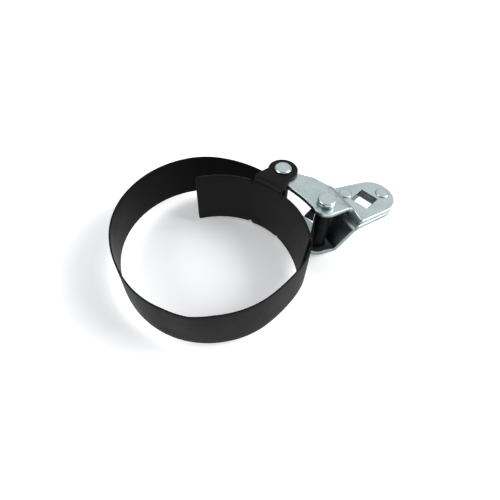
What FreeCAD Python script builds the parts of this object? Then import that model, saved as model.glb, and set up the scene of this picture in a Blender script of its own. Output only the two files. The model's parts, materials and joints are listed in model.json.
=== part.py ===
import FreeCAD, Part
import math
import os

# Band-and-lever oil filter wrench, millimetres, +Z up.
# Origin: centre of the gripping ring, halfway up the band.  +X points to the lever side.

# ---- gripping band: one flexible strip, cut into short sections at its flexing lines ----
GRIP_RADIUS = 65.4
BAND_THICKNESS = 1.0
BAND_WIDTH = 34.0
FLEX_GAP = 0.3
FRONT_FLEX_ANGLE = -75.0
RIGHT_FLEX_ANGLE = -45.0
REAR_FLEX_ANGLE = -205.0
BACK_FLEX_ANGLE = -248.0
RIGHT_TIGHTENING = 8.4
RIGHT_TURN = 37.0
BACK_TIGHTENING = 17.4
BACK_TURN = 30.0
LOOP_WRAP = 300.0

# ---- pins: each place is a stand-off from the gripping circle and an angle about its centre ----
ANCHOR_STANDOFF = 10.76
ANCHOR_ANGLE = 13.67
NOSE_STANDOFF = 0.0
NOSE_ANGLE = 45.93
PIN_RADIUS = 4.4
WAIST_DEPTH = 1.0
LOOP_FIT = 0.08
NOSE_LOOP_CLEARANCE = 1.4
PIN_HEAD_OVERHANG = 1.7
ANCHOR_HEAD_HEIGHT = 4.3
NOSE_HEAD_HEIGHT = 1.6
PIN_TAIL_HEIGHT = 1.2
HEAD_CHAMFER = 0.5
PIN_HOLE_FIT = 0.06
END_PLAY = 0.1

# ---- anchor washers between band loop and lever plates; the upper one has a square-ended tab ----
WASHER_WALL = 2.0
TAB_REACH = 15.6
TAB_HEADING = 234.0
TAB_END_WIDTH = 6.0
TAB_TAPER_ANGLE = 19.1

# ---- lever: two stamped plates riveted together at the drive head ----
PLATE_THICKNESS = 3.5
PLATE_BAND_CLEARANCE = 1.2
LEVER_HEADING = 25.0
EYE_WALL = 5.2
HOLLOW_SAG = 2.6
SHOULDER = (4.2, 25.3)
NAPE = (-1.5, 30.4)
NAPE_HEADING = -25.0
NECK_HALF_WIDTH = 9.2
NECK_TOP = 11.2
HEAD_HALF_WIDTH = 17.4
HEAD_DROP = 7.5
UPPER_BENDS = (13.0, 16.6)
LOWER_BENDS = (9.6, 12.8)
BEND_SKEW = 6.0
DRIVE_ACROSS_FLATS = 12.9
DRIVE_DISTANCE = 32.1
DRIVE_TURN = 23.5
DRIVE_END_RADIUS = 15.5
DRIVE_END_DISTANCE = 38.5
RIVET_PLACES = (("drive_rivet_inner", (22.3, 9.4)), ("drive_rivet_outer", (47.0, 0.3)))
RIVET_RADIUS = 3.2
RIVET_HEAD_OVERHANG = 1.4
RIVET_HEAD_HEIGHT = 0.7

# ---- shoe: curved plate inside the band, with two ears hung on the nose pin ----
SHOE_THICKNESS = 2.0
SHOE_OVERHANG = 3.75
SHOE_STANDOFF = 9.6
SHOE_OFFSET = 14.58
SHOE_OFFSET_ANGLE = -69.95
SHOE_HALF_ANGLE = 55.5
EAR_CLEARANCE = 0.4
EAR_WIDTH = 22.0
EAR_WALL = 5.6
RELIEF_RADIUS = 1.2

Z = FreeCAD.Vector(0, 0, 1)

# ---- values worked out from the sizes above ----
BAND_RADIUS = GRIP_RADIUS + BAND_THICKNESS / 2
RIGHT_RADIUS = GRIP_RADIUS - RIGHT_TIGHTENING
BACK_RADIUS = GRIP_RADIUS - BACK_TIGHTENING
PLATE_INNER = BAND_WIDTH / 2 + PLATE_BAND_CLEARANCE
PLATE_OUTER = PLATE_INNER + PLATE_THICKNESS
HEAD_TOP = PLATE_OUTER - HEAD_DROP
HEAD_JOINT = HEAD_TOP - PLATE_THICKNESS
EAR_INNER = PLATE_OUTER + EAR_CLEARANCE
EAR_OUTER = EAR_INNER + SHOE_THICKNESS
EAR_RADIUS = PIN_RADIUS + EAR_WALL
EYE_RADIUS = PIN_RADIUS + EYE_WALL
PIN_HEAD_RADIUS = PIN_RADIUS + PIN_HEAD_OVERHANG
NOSE_WAIST_RADIUS = PIN_RADIUS - WAIST_DEPTH
NOSE_LOOP_RADIUS = NOSE_WAIST_RADIUS + NOSE_LOOP_CLEARANCE
WASHER_RADIUS = PIN_RADIUS + WASHER_WALL
RIVET_HEAD_RADIUS = RIVET_RADIUS + RIVET_HEAD_OVERHANG
SHOE_RADIUS = GRIP_RADIUS - SHOE_STANDOFF
SHOE_WIDTH = BAND_WIDTH + 2 * SHOE_OVERHANG


def vec(point, z=0.0):
    return FreeCAD.Vector(point[0], point[1], z)


def polar(centre, radius, angle):
    """Point at a distance and an angle in degrees from a centre, in plan."""
    turn = math.radians(angle)
    return (centre[0] + radius * math.cos(turn), centre[1] + radius * math.sin(turn))


def angle_of(centre, point):
    return math.degrees(math.atan2(point[1] - centre[1], point[0] - centre[0]))


def disc(place, radius, bottom, top):
    return Part.makeCylinder(radius, top - bottom, vec(place, bottom))


def curved_strip(centre, radius, start, end, thickness, width):
    """Upright strip whose middle surface follows an arc, centred on z = 0."""
    middle = (start + end) / 2
    edges = []
    for r in (radius - thickness / 2, radius + thickness / 2):
        ends = [vec(polar(centre, r, a)) for a in (start, middle, end)]
        edges.append(Part.Arc(*ends).toShape())
    for a in (start, end):
        inner = vec(polar(centre, radius - thickness / 2, a))
        outer = vec(polar(centre, radius + thickness / 2, a))
        edges.append(Part.LineSegment(inner, outer).toShape())
    face = Part.Face(Part.Wire(Part.__sortEdges__(edges)))
    strip = face.extrude(FreeCAD.Vector(0, 0, width))
    strip.translate(FreeCAD.Vector(0, 0, -width / 2))
    return strip


def band_arc(centre, radius, start, end):
    return curved_strip(centre, radius, start, end, BAND_THICKNESS, BAND_WIDTH)


def gap_angle(radius):
    """Half a flex gap, as an angle on the given radius."""
    return math.degrees(FLEX_GAP / 2 / radius)


def join(first, *others):
    solid = first
    for other in others:
        solid = solid.fuse(other)
    return solid.removeSplitter()


def tangent_arc(start, normal_angle, pin, pin_reach):
    """Arc leaving a point squarely to a normal, and touching a circle about a pin from outside.

    The arc's centre is start + R n, and its distance from the pin is R + pin_reach.
    """
    n = polar((0, 0), 1, normal_angle)
    d = (start[0] - pin[0], start[1] - pin[1])
    along = d[0] * n[0] + d[1] * n[1]
    radius = (pin_reach ** 2 - d[0] ** 2 - d[1] ** 2) / (2 * (along - pin_reach))
    centre = (start[0] + radius * n[0], start[1] + radius * n[1])
    return centre, radius


# ---- pin places, shoe centre and flexing points along the band ----
ANCHOR_PIN_PLACE = polar((0, 0), GRIP_RADIUS + ANCHOR_STANDOFF, ANCHOR_ANGLE)
NOSE_PIN_PLACE = polar((0, 0), GRIP_RADIUS + NOSE_STANDOFF, NOSE_ANGLE)
SHOE_CENTRE = polar((0, 0), SHOE_OFFSET, SHOE_OFFSET_ANGLE)
EAR_HEADING = angle_of(SHOE_CENTRE, NOSE_PIN_PLACE)
RIGHT_START = polar((0, 0), BAND_RADIUS, RIGHT_FLEX_ANGLE)
RIGHT_CENTRE = polar(RIGHT_START, RIGHT_RADIUS, RIGHT_FLEX_ANGLE + 180)
RIGHT_END_ANGLE = RIGHT_FLEX_ANGLE + RIGHT_TURN
RIGHT_END = polar(RIGHT_CENTRE, RIGHT_RADIUS, RIGHT_END_ANGLE)
BACK_START = polar((0, 0), BAND_RADIUS, BACK_FLEX_ANGLE)
BACK_CENTRE = polar(BACK_START, BACK_RADIUS, BACK_FLEX_ANGLE + 180)
BACK_END_ANGLE = BACK_FLEX_ANGLE - BACK_TURN
BACK_END = polar(BACK_CENTRE, BACK_RADIUS, BACK_END_ANGLE)


def ring_section(first_angle, last_angle):
    gap = gap_angle(BAND_RADIUS)
    return band_arc((0, 0), BAND_RADIUS, first_angle - gap, last_angle + gap)


def right_section():
    gap = gap_angle(RIGHT_RADIUS)
    return band_arc(RIGHT_CENTRE, RIGHT_RADIUS, RIGHT_FLEX_ANGLE + gap, RIGHT_END_ANGLE - gap)


def back_section():
    gap = gap_angle(BACK_RADIUS)
    return band_arc(BACK_CENTRE, BACK_RADIUS, BACK_FLEX_ANGLE - gap, BACK_END_ANGLE + gap)


def looped_section(flex_point, normal_angle, pin, loop_inner_radius, wrap_sign):
    """Last stretch of the band: a gentle arc up to the pin, and a loop wrapped round it."""
    reach = loop_inner_radius + BAND_THICKNESS / 2
    centre, radius = tangent_arc(flex_point, normal_angle, pin, reach)
    size = abs(radius)
    start = angle_of(centre, flex_point)
    touch = angle_of(centre, pin)
    turn = (touch - start + 180) % 360 - 180
    gap = math.copysign(gap_angle(size), turn)
    run = band_arc(centre, size, start + gap, start + turn)
    first = angle_of(pin, polar(centre, size, touch))
    loop = band_arc(pin, reach, first, first + wrap_sign * LOOP_WRAP)
    return join(run, loop)


def anchor_section():
    inner = PIN_RADIUS + LOOP_FIT
    return looped_section(RIGHT_END, RIGHT_END_ANGLE + 180, ANCHOR_PIN_PLACE, inner, -1)


def pull_section():
    return looped_section(BACK_END, BACK_END_ANGLE + 180, NOSE_PIN_PLACE, NOSE_LOOP_RADIUS, 1)


# ---- shoe ----
def shoe_strip(width, half_angle):
    radius = SHOE_RADIUS - SHOE_THICKNESS / 2
    first, last = EAR_HEADING - half_angle, EAR_HEADING + half_angle
    return curved_strip(SHOE_CENTRE, radius, first, last, SHOE_THICKNESS, width)


def ear(bottom):
    """Flat ear from the shoe wall to a round end about the nose pin."""
    reach = math.dist(SHOE_CENTRE, NOSE_PIN_PLACE)
    root = SHOE_RADIUS - SHOE_THICKNESS
    half = EAR_WIDTH / 2
    straight = SHOE_RADIUS + SHOE_THICKNESS
    round_start = polar((reach, 0), EAR_RADIUS, 120)
    left_side = [round_start, (straight, half), (math.sqrt(root ** 2 - half ** 2), half)]
    right_side = [(x, -y) for x, y in reversed(left_side)]
    edges = [Part.Arc(vec(right_side[2]), vec((reach + EAR_RADIUS, 0)), vec(left_side[0])).toShape()]
    edges.append(Part.Arc(vec(left_side[2]), vec((root, 0)), vec(right_side[0])).toShape())
    for side in (right_side, left_side):
        for a, b in zip(side, side[1:]):
            edges.append(Part.LineSegment(vec(a), vec(b)).toShape())
    plate = Part.Face(Part.Wire(Part.__sortEdges__(edges))).extrude(vec((0, 0), SHOE_THICKNESS))
    plate.Placement = FreeCAD.Placement(vec(SHOE_CENTRE, bottom), FreeCAD.Rotation(Z, EAR_HEADING))
    return plate.cut(disc(NOSE_PIN_PLACE, PIN_RADIUS + PIN_HOLE_FIT, -2 * EAR_OUTER, 2 * EAR_OUTER))


def shoe():
    """Curved wall with two ears bent outwards, and a relief notch at each end of each bend."""
    ear_half_angle = math.degrees(math.asin(EAR_WIDTH / 2 / SHOE_RADIUS))
    neck = shoe_strip(2 * EAR_OUTER, ear_half_angle)
    whole = join(shoe_strip(SHOE_WIDTH, SHOE_HALF_ANGLE), neck, ear(EAR_INNER), ear(-EAR_OUTER))
    for heading in (EAR_HEADING - ear_half_angle, EAR_HEADING + ear_half_angle):
        inside = polar(SHOE_CENTRE, SHOE_RADIUS - 2 * SHOE_THICKNESS, heading)
        direction = vec(polar((0, 0), 1, heading))
        for z in (SHOE_WIDTH / 2, -SHOE_WIDTH / 2):
            notch = Part.makeCylinder(RELIEF_RADIUS, 4 * SHOE_THICKNESS, vec(inside, z), direction)
            whole = whole.cut(notch)
    return whole


# ---- lever plates ----
def nose_in_lever():
    """Nose pin place in the lever's own plan axes: anchor pin at 0, x along the drive head."""
    dx = NOSE_PIN_PLACE[0] - ANCHOR_PIN_PLACE[0]
    dy = NOSE_PIN_PLACE[1] - ANCHOR_PIN_PLACE[1]
    turn = math.radians(LEVER_HEADING)
    return (dx * math.cos(turn) + dy * math.sin(turn), dy * math.cos(turn) - dx * math.sin(turn))


def on_bend(reach, y):
    """Point at height y on a bend line that crosses the lever axis at the given reach."""
    return (reach - y * math.tan(math.radians(BEND_SKEW)), y)


def arm_blank(bend_reach):
    """Arm in plan: eyes at both pins, a hollow inner edge, and a neck that ends at the bend."""
    nose = nose_in_lever()
    heading = angle_of((0, 0), nose)
    near = polar((0, 0), EYE_RADIUS, 180)
    far = polar(nose, EYE_RADIUS, heading + 90)
    middle = ((near[0] + far[0]) / 2, (near[1] + far[1]) / 2)
    hollow = polar(middle, HOLLOW_SAG, heading - 90)
    edges = [Part.Arc(vec(far), vec(hollow), vec(near)).toShape()]
    path = [near, (0, -NECK_HALF_WIDTH), on_bend(bend_reach, -NECK_HALF_WIDTH)]
    path += [on_bend(bend_reach, NECK_TOP), SHOULDER, NAPE, polar(nose, EYE_RADIUS, NAPE_HEADING), far]
    for a, b in zip(path, path[1:]):
        edges.append(Part.LineSegment(vec(a), vec(b)).toShape())
    arm = Part.Face(Part.Wire(edges)).extrude(vec((0, 0), PLATE_THICKNESS))
    eye = disc((0, 0), EYE_RADIUS, 0, PLATE_THICKNESS)
    nose_eye = disc(nose, EYE_RADIUS, 0, PLATE_THICKNESS)
    return join(arm, eye, nose_eye)


def head_blank(bend_reach):
    """Drive head in plan: an edge along the bend, sides closing in slightly, and a round end."""
    end = (DRIVE_END_DISTANCE, 0)
    tip = (DRIVE_END_DISTANCE + DRIVE_END_RADIUS, 0)
    touches = []
    for sign in (-1, 1):
        corner = on_bend(bend_reach, sign * HEAD_HALF_WIDTH)
        reach = math.dist(end, corner)
        spread = math.degrees(math.acos(DRIVE_END_RADIUS / reach))
        touches.append(polar(end, DRIVE_END_RADIUS, angle_of(end, corner) - sign * spread))
    low, high = on_bend(bend_reach, -HEAD_HALF_WIDTH), on_bend(bend_reach, HEAD_HALF_WIDTH)
    edges = [Part.LineSegment(vec(low), vec(touches[0])).toShape()]
    edges.append(Part.Arc(vec(touches[0]), vec(tip), vec(touches[1])).toShape())
    edges.append(Part.LineSegment(vec(touches[1]), vec(high)).toShape())
    edges.append(Part.LineSegment(vec(high), vec(low)).toShape())
    return Part.Face(Part.Wire(edges)).extrude(vec((0, 0), PLATE_THICKNESS))


def ramp(arm_level, head_level, bends):
    """Slanted wall between the two bends, widening from the neck to the drive head."""
    low_bend, high_bend = bends
    corners = [
        vec(on_bend(low_bend, -NECK_HALF_WIDTH), arm_level),
        vec(on_bend(high_bend, -HEAD_HALF_WIDTH), head_level),
        vec(on_bend(high_bend, HEAD_HALF_WIDTH), head_level),
        vec(on_bend(low_bend, NECK_TOP), arm_level),
    ]
    face = Part.Face(Part.makePolygon(corners + corners[:1]))
    normal = (corners[1] - corners[0]).cross(corners[3] - corners[0]).normalize()
    wall = face.extrude(normal * PLATE_THICKNESS)
    wall.translate(normal * (-PLATE_THICKNESS / 2))
    return wall


def lever_plate(arm_level, head_level, bends):
    """Plate with its arm and its drive head at two levels, given for the middle of the sheet."""
    slope = math.atan2(abs(head_level - arm_level), bends[1] - bends[0])
    lap = PLATE_THICKNESS / 2 * math.tan(slope / 2)
    arm = arm_blank(bends[0] + lap)
    arm.translate(vec((0, 0), arm_level - PLATE_THICKNESS / 2))
    head = head_blank(bends[1] - lap)
    head.translate(vec((0, 0), head_level - PLATE_THICKNESS / 2))
    plate = join(arm, ramp(arm_level, head_level, bends), head)
    for place, radius in hole_places():
        plate = plate.cut(disc(place, radius, -2 * PLATE_OUTER, 2 * PLATE_OUTER))
    plate = plate.cut(drive_square())
    plate.Placement = lever_placement().multiply(plate.Placement)
    return plate


def hole_places():
    holes = [((0, 0), PIN_RADIUS), (nose_in_lever(), PIN_RADIUS)]
    for _, place in RIVET_PLACES:
        holes.append((place, RIVET_RADIUS))
    return holes


def drive_square():
    side = DRIVE_ACROSS_FLATS
    block = Part.makeBox(side, side, 4 * PLATE_OUTER, FreeCAD.Vector(-side / 2, -side / 2, -2 * PLATE_OUTER))
    turned = FreeCAD.Placement(vec((DRIVE_DISTANCE, 0)), FreeCAD.Rotation(Z, DRIVE_TURN))
    block.Placement = turned.multiply(block.Placement)
    return block


def lever_placement():
    return FreeCAD.Placement(vec(ANCHOR_PIN_PLACE), FreeCAD.Rotation(Z, LEVER_HEADING))


def upper_plate():
    return lever_plate(PLATE_OUTER - PLATE_THICKNESS / 2, HEAD_JOINT + PLATE_THICKNESS / 2, UPPER_BENDS)


def lower_plate():
    return lever_plate(PLATE_THICKNESS / 2 - PLATE_OUTER, HEAD_JOINT - PLATE_THICKNESS / 2, LOWER_BENDS)


# ---- pins, washers and rivets ----
def headed_top(place, radius, bottom, height):
    """Round head with a chamfered upper rim."""
    head = disc(place, radius, bottom, bottom + height)
    rim = [e for e in head.Edges if e.Closed and e.CenterOfMass.z > bottom + height / 2]
    return head.makeChamfer(HEAD_CHAMFER, rim)


def anchor_pin():
    shank = disc(ANCHOR_PIN_PLACE, PIN_RADIUS, -PLATE_OUTER, PLATE_OUTER)
    head = headed_top(ANCHOR_PIN_PLACE, PIN_HEAD_RADIUS, PLATE_OUTER, ANCHOR_HEAD_HEIGHT)
    tail = disc(ANCHOR_PIN_PLACE, PIN_HEAD_RADIUS, -PLATE_OUTER - PIN_TAIL_HEIGHT, -PLATE_OUTER)
    return join(shank, head, tail)


def nose_pin():
    """Pin through plates and ears, turned down to a waist between the plates for the pull loop."""
    seat = EAR_OUTER + END_PLAY
    waist = disc(NOSE_PIN_PLACE, NOSE_WAIST_RADIUS, -PLATE_INNER, PLATE_INNER)
    upper = disc(NOSE_PIN_PLACE, PIN_RADIUS, PLATE_INNER, seat)
    lower = disc(NOSE_PIN_PLACE, PIN_RADIUS, -seat, -PLATE_INNER)
    head = headed_top(NOSE_PIN_PLACE, PIN_HEAD_RADIUS, seat, NOSE_HEAD_HEIGHT)
    tail = disc(NOSE_PIN_PLACE, PIN_HEAD_RADIUS, -seat - PIN_TAIL_HEIGHT, -seat)
    return join(waist, upper, lower, head, tail)


def anchor_washer(side_sign, has_tab):
    """Washer ring on the anchor pin; its tab lies along the inner side of the band."""
    thickness = PLATE_BAND_CLEARANCE - END_PLAY
    middle = side_sign * (PLATE_INNER - PLATE_BAND_CLEARANCE / 2)
    plate = disc((0, 0), WASHER_RADIUS, 0, thickness)
    if has_tab:
        root = WASHER_RADIUS / 2
        end_side = TAB_END_WIDTH - WASHER_RADIUS
        root_side = end_side - (TAB_REACH - root) * math.tan(math.radians(TAB_TAPER_ANGLE))
        corners = [(0, -WASHER_RADIUS), (TAB_REACH, -WASHER_RADIUS), (TAB_REACH, end_side), (root, root_side)]
        outline = Part.makePolygon([vec(corner) for corner in corners + corners[:1]])
        plate = join(plate, Part.Face(outline).extrude(vec((0, 0), thickness)))
    plate = plate.cut(disc((0, 0), PIN_RADIUS + PIN_HOLE_FIT, -thickness, 2 * thickness))
    turn = FreeCAD.Rotation(Z, TAB_HEADING)
    plate.Placement = FreeCAD.Placement(vec(ANCHOR_PIN_PLACE, middle - thickness / 2), turn)
    return plate


def drive_rivet(place):
    top = HEAD_JOINT + PLATE_THICKNESS
    bottom = HEAD_JOINT - PLATE_THICKNESS
    shank = disc(place, RIVET_RADIUS, bottom, top)
    head = headed_top(place, RIVET_HEAD_RADIUS, top, RIVET_HEAD_HEIGHT)
    tail = disc(place, RIVET_HEAD_RADIUS, bottom - RIVET_HEAD_HEIGHT, bottom)
    rivet = join(shank, head, tail)
    rivet.Placement = lever_placement().multiply(rivet.Placement)
    return rivet


def build():
    nodes = {
        "band_ring": ring_section(FRONT_FLEX_ANGLE, REAR_FLEX_ANGLE),
        "band_front": ring_section(RIGHT_FLEX_ANGLE, FRONT_FLEX_ANGLE),
        "band_right": right_section(),
        "band_anchor_loop": anchor_section(),
        "band_rear": ring_section(REAR_FLEX_ANGLE, BACK_FLEX_ANGLE),
        "band_back": back_section(),
        "band_pull_loop": pull_section(),
        "shoe": shoe(),
        "upper_lever_plate": upper_plate(),
        "lower_lever_plate": lower_plate(),
        "anchor_pin": anchor_pin(),
        "nose_pin": nose_pin(),
        "anchor_washer_upper": anchor_washer(1, True),
        "anchor_washer_lower": anchor_washer(-1, False),
    }
    for name, place in RIVET_PLACES:
        nodes[name] = drive_rivet(place)
    os.makedirs("parts", exist_ok=True)
    for name, shape in nodes.items():
        print(name, shape.isValid(), len(shape.Solids), round(shape.Volume, 1))
        shape.exportStep("parts/" + name + ".step")


build()
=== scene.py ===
"""Visual model of a band-and-lever oil filter wrench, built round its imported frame.

A springy black strip runs round the ring, with a loop at each end; a curved black shoe hangs
inside it on the nose pin; two zinc-plated lever plates are riveted at the square drive head.
Sizes are in millimetres inside the shape functions and become metres when a mesh is made.
"""

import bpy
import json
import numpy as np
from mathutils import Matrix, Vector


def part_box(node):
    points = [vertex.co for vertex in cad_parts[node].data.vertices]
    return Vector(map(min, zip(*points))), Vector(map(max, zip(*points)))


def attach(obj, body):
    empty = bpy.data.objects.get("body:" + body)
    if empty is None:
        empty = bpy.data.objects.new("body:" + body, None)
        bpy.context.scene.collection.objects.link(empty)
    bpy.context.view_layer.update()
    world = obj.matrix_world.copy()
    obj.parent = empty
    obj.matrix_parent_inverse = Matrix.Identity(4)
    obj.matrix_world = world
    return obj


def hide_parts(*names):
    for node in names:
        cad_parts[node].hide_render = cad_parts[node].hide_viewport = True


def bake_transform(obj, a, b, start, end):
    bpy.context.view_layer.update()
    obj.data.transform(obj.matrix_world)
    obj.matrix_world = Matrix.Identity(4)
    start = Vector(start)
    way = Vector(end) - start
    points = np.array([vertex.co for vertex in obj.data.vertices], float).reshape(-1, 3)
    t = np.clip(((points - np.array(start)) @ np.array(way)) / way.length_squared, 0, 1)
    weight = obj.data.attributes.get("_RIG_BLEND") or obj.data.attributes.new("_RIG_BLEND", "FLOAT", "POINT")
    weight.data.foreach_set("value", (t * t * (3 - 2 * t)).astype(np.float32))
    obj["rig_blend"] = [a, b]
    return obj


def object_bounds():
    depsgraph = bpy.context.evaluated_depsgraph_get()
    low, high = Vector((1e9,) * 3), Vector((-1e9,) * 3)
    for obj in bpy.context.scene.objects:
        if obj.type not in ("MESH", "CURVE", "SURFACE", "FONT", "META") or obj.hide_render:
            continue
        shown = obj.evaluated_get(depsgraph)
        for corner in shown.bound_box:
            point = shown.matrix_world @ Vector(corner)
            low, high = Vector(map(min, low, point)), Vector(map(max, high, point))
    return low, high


bl_info = {
    "name": "Filter Wrench",
    "version": (1, 0, 0),
    "blender": (4, 5, 0),
    "location": "View3D > Sidebar > Filter Wrench",
    "description": "Builds a band-and-lever oil filter wrench around its packed frame",
    "category": "Add Mesh",
}

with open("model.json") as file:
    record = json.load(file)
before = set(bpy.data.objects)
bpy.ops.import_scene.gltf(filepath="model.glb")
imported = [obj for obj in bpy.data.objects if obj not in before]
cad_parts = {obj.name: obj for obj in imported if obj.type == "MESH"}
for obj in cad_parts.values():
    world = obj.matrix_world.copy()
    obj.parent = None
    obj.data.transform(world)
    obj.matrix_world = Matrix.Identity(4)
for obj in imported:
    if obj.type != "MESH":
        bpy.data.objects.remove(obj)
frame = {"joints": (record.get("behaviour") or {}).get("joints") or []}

import json
import math

import bmesh
import bpy
import numpy as np
from bpy.props import FloatProperty, FloatVectorProperty, PointerProperty
from mathutils import Matrix

CAD_BOX = [list(corner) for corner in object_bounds()]
MM = 0.001
SHARP_ANGLE = math.radians(40)

HINGE = {j["name"]: np.array(j["pos_m"][:2]) / MM for j in frame["joints"]}
ANCHOR_PIN = HINGE["lever_pivot"]
NOSE_PIN = HINGE["shoe_swing"]
BAND_HALF_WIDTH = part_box("band_ring")[1].z / MM
EAR_OUTER = 24.1
PLATE_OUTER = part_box("lower_lever_plate")[0].z / -MM
PLATE_INNER = 18.2
HEAD_TOP = 14.2


# ---------- settings


def metres(name, description, default):
    """Property for a length, in metres."""
    return FloatProperty(name=name, description=description, default=default, unit="LENGTH")


def degrees(name, description, default):
    """Property for an angle, whose default is given in degrees."""
    turn = math.radians(default)
    return FloatProperty(name=name, description=description, default=turn, subtype="ANGLE")


def tint(name, description, default):
    """Property for a colour."""
    return FloatVectorProperty(
        name=name, description=description, default=default, size=3, subtype="COLOR"
    )


class FW_BandSettings(bpy.types.PropertyGroup):
    """Sizes of the flexible strip."""

    thickness: metres("Thickness", "Thickness of the strip", 0.001)
    loop_wrap: degrees("Loop wrap", "How far each end loop wraps round its pin", 300)
    anchor_bore: metres("Anchor loop bore", "Inner radius of the loop on the anchor pin", 0.00448)
    nose_bore: metres("Pull loop bore", "Inner radius of the loop on the nose pin", 0.0048)


class FW_ShoeSettings(bpy.types.PropertyGroup):
    """Sizes of the curved gripping shoe and its ears."""

    radius: metres("Outer radius", "Radius of the shoe's outer face", 0.0558)
    reach: metres("Reach", "Distance from the shoe's centre of curvature to the nose pin", 0.07297)
    heading: degrees("Heading", "Direction of the ears from the shoe's centre", 56.29)
    half_angle: degrees("Half angle", "Half the angle that the shoe covers", 55.5)
    width: metres("Width", "Height of the shoe's wall", 0.0415)
    thickness: metres("Thickness", "Thickness of the sheet", 0.002)
    ear_radius: metres("Ear radius", "Radius of each ear's round end", 0.0105)


class FW_LeverSettings(bpy.types.PropertyGroup):
    """Sizes of the two riveted lever plates."""

    thickness: metres("Plate thickness", "Thickness of each plate", 0.0035)
    heading: degrees("Heading", "Direction of the drive head from the anchor pin", 25)
    drive_size: metres("Drive square", "Width across flats of the square hole", 0.0129)
    drive_turn: degrees("Drive turn", "Turn of the square hole in the head", 23.5)
    bend_radius: metres("Bend radius", "Middle radius of the plates' bends", 0.0034)


class FW_FinishSettings(bpy.types.PropertyGroup):
    """Colours of the finishes."""

    black: tint("Black finish", "Colour of band, shoe and washers", (0.006, 0.006, 0.0065))
    # Painted light: this lighter black lies on the band's outer face; it also shows as faint wear on the
    # shoe's and washers' cut edges
    lit_and_worn: tint("Worn black", "Colour where the black is rubbed", (0.010, 0.010, 0.011))
    zinc_light: tint("Light zinc", "Lighter patches of the plating", (0.63, 0.72, 0.71))
    zinc_dark: tint("Dark zinc", "Darker patches of the plating", (0.47, 0.56, 0.57))
    # Painted shade: this zinc colour darkens the lower halves of cut edges, hole walls, head feet and the
    # plates' shaded upper faces
    zinc_shaded: tint("Dull zinc", "Cut edges and hidden faces of the plating", (0.04, 0.055, 0.06))


class FW_StageSettings(bpy.types.PropertyGroup):
    """The floor, the lights and the camera."""

    distance: metres("Camera distance", "Distance from the camera to its aim", 0.28432)
    elevation: degrees("Camera elevation", "Height of the camera above the horizon", 52.1)
    roll: degrees("Camera roll", "Tilt of the camera about its line of sight", 2.99)
    lens: FloatProperty(name="Lens", description="Focal length", default=28.43, unit="CAMERA")
    floor_colour: tint("Floor", "Colour of the floor", (0.97, 0.97, 0.97))


# ---------- shape helpers


def polar(centre, radius, angle):
    """Points at a distance and angles in degrees from a centre, in plan."""
    turn = np.radians(angle)
    return np.asarray(centre) + radius * np.stack([np.cos(turn), np.sin(turn)], -1)


def turned_axes(heading):
    """Unit directions along a heading and to its left, as two rows."""
    cos, sin = math.cos(heading), math.sin(heading)
    return np.array([[cos, sin], [-sin, cos]])


def angle_of(centre, point):
    """Direction of a point from a centre, in degrees anticlockwise from x."""
    return math.degrees(math.atan2(point[1] - centre[1], point[0] - centre[0]))


def arc(centre, radius, start, end, step=1.0):
    """Points along an arc from one angle to another, at most step millimetres apart."""
    count = max(2, int(abs(math.radians(end - start)) * radius / step) + 2)
    return polar(centre, radius, np.linspace(start, end, count))


def arc_through(start, middle, end, step=1.0):
    """Arc through three points.

    Its centre is where the perpendicular bisectors of its two chords meet.
    """
    chords = np.array([middle - start, end - middle])
    halfway = np.array([(start + middle) / 2, (middle + end) / 2])
    centre = np.linalg.solve(chords, (chords * halfway).sum(1))
    first, via, last = (angle_of(centre, p) for p in (start, middle, end))
    sweep = (last - first) % 360
    if (via - first) % 360 > sweep:
        sweep -= 360
    return arc(centre, np.linalg.norm(start - centre), first, first + sweep, step)


def rounded(corners, steps=6):
    """Closed outline from corners (x, y, radius), with an arc tangent to both sides at each corner.

    The arc begins radius / tan(half the corner's angle) from the corner, on each side.
    """
    points = np.array([c[:2] for c in corners], float)
    out = []
    for i, corner in enumerate(corners):
        here, before, after = points[i], points[i - 1], points[(i + 1) % len(points)]
        if corner[2] <= 0:
            out.append(here[None])
            continue
        a = (before - here) / np.linalg.norm(before - here)
        b = (after - here) / np.linalg.norm(after - here)
        half = math.acos(np.clip(a @ b, -1, 1)) / 2
        back = corner[2] / math.tan(half)
        centre = here + (a + b) / np.linalg.norm(a + b) * corner[2] / math.sin(half)
        first, last = here + a * back, here + b * back
        start = angle_of(centre, first)
        sweep = (angle_of(centre, last) - start + 180) % 360 - 180
        out.append(polar(centre, corner[2], np.linspace(start, start + sweep, steps + 1)))
    return np.concatenate(out)


def along(path):
    """Length along a path up to each of its points."""
    return np.concatenate([[0], np.cumsum(np.linalg.norm(np.diff(path, axis=0), axis=1))])


def evenly(path, step):
    """The same path with its points evenly spaced."""
    length = along(path)
    places = np.linspace(0, length[-1], max(2, int(length[-1] / step)) + 1)
    return np.stack([np.interp(places, length, path[:, k]) for k in range(2)], -1)


def left_normals(path, closed=False):
    """Unit normals on the left of a path, and each one's share along its side's own normal.

    Each is the mean of its two neighbouring sides' normals, made one long again.
    """
    if closed:
        ahead, behind = np.roll(path, -1, 0) - path, path - np.roll(path, 1, 0)
    else:
        sides = np.diff(path, axis=0)
        ahead = np.concatenate([sides, sides[-1:]])
        behind = np.concatenate([sides[:1], sides])
    ahead /= np.linalg.norm(ahead, axis=1, keepdims=True)
    behind /= np.linalg.norm(behind, axis=1, keepdims=True)
    mean = ahead + behind
    mean /= np.linalg.norm(mean, axis=1, keepdims=True)
    return np.stack([-mean[:, 1], mean[:, 0]], -1), (ahead * mean).sum(1)


def tube_faces(rows, columns):
    """Quads of a tube whose points are numbered row by row, each row a closed ring of columns."""
    r, c = np.meshgrid(np.arange(rows - 1), np.arange(columns), indexing="ij")
    here, next_row, next_column = r * columns, (r + 1) * columns, (c + 1) % columns
    quads = [here + c, next_row + c, next_row + next_column, here + next_column]
    return np.stack(quads, -1).reshape(-1, 4)


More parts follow.
